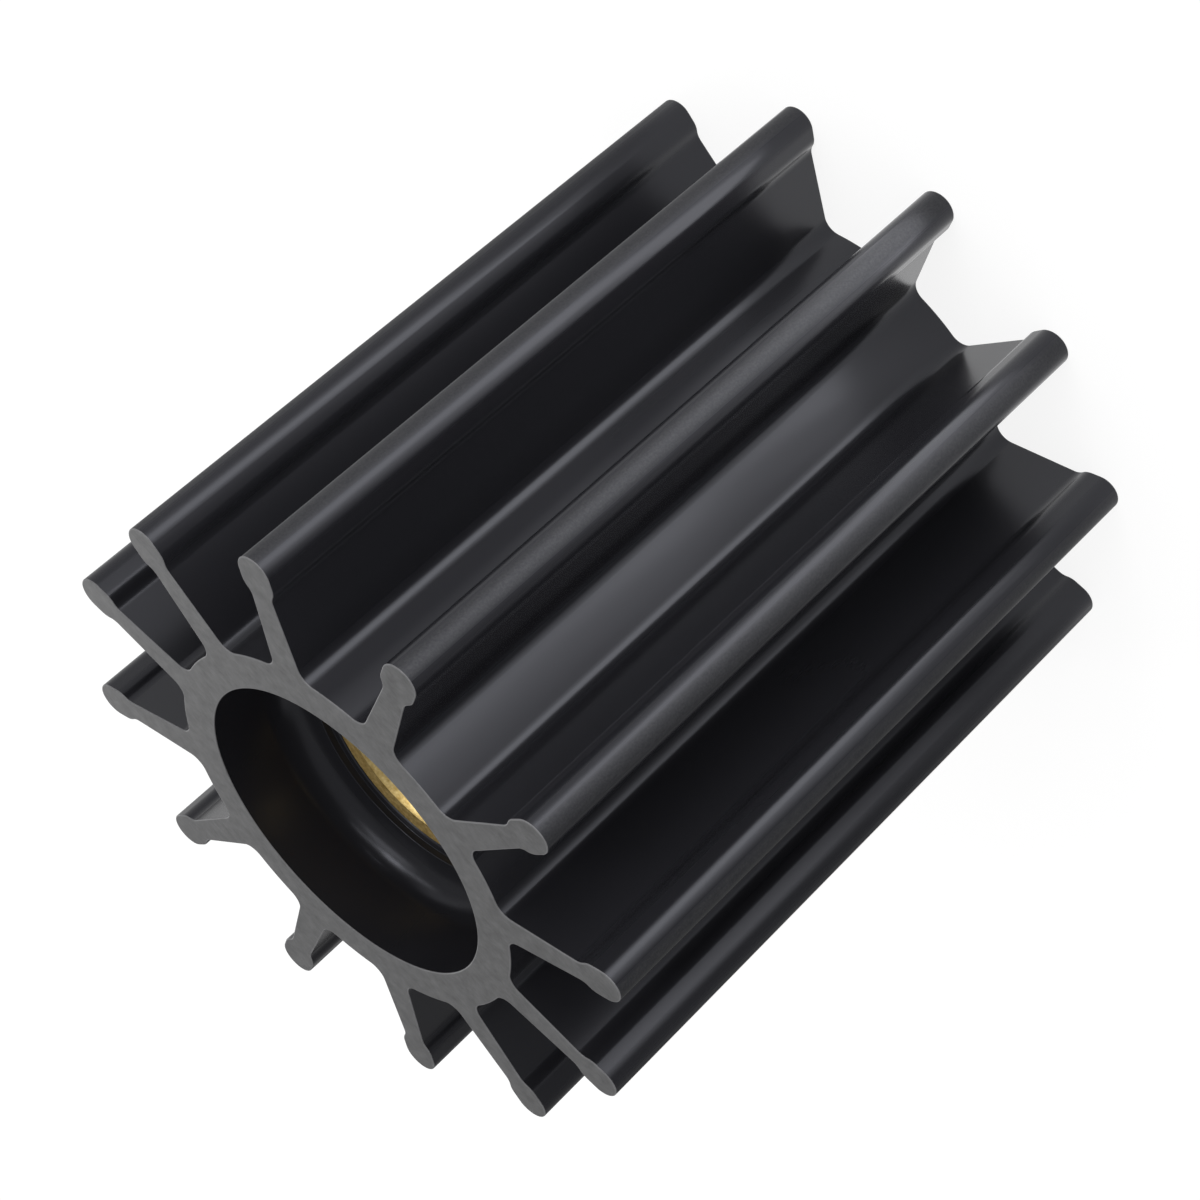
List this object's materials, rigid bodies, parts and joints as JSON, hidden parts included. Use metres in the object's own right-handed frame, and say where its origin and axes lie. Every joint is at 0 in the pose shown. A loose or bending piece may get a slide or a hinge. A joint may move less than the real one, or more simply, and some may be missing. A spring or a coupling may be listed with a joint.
{
  "type": "flexible pump impeller",
  "caption": "Flexible raw-water pump impeller: a moulded rubber star of straight, bulb-tipped blades, bonded on a bored and keyed brass shaft insert.",
  "frame": {"origin": "centre of the lower end face, on the shaft axis, on the surface that the impeller stands on", "axes": "+Z along the shaft axis, towards the end that the picture shows; +X through a blade and the keyway"},
  "size_m": [0.0952, 0.0952, 0.1016],
  "materials": {
    "rubber": "satin moulded black rubber, matt grey on the cut end faces",
    "brass": "turned, slightly worn"
  },
  "bodies": {
    "root": {"rubber_body": "rubber", "brass_insert": "brass"}
  },
  "joints": []
}
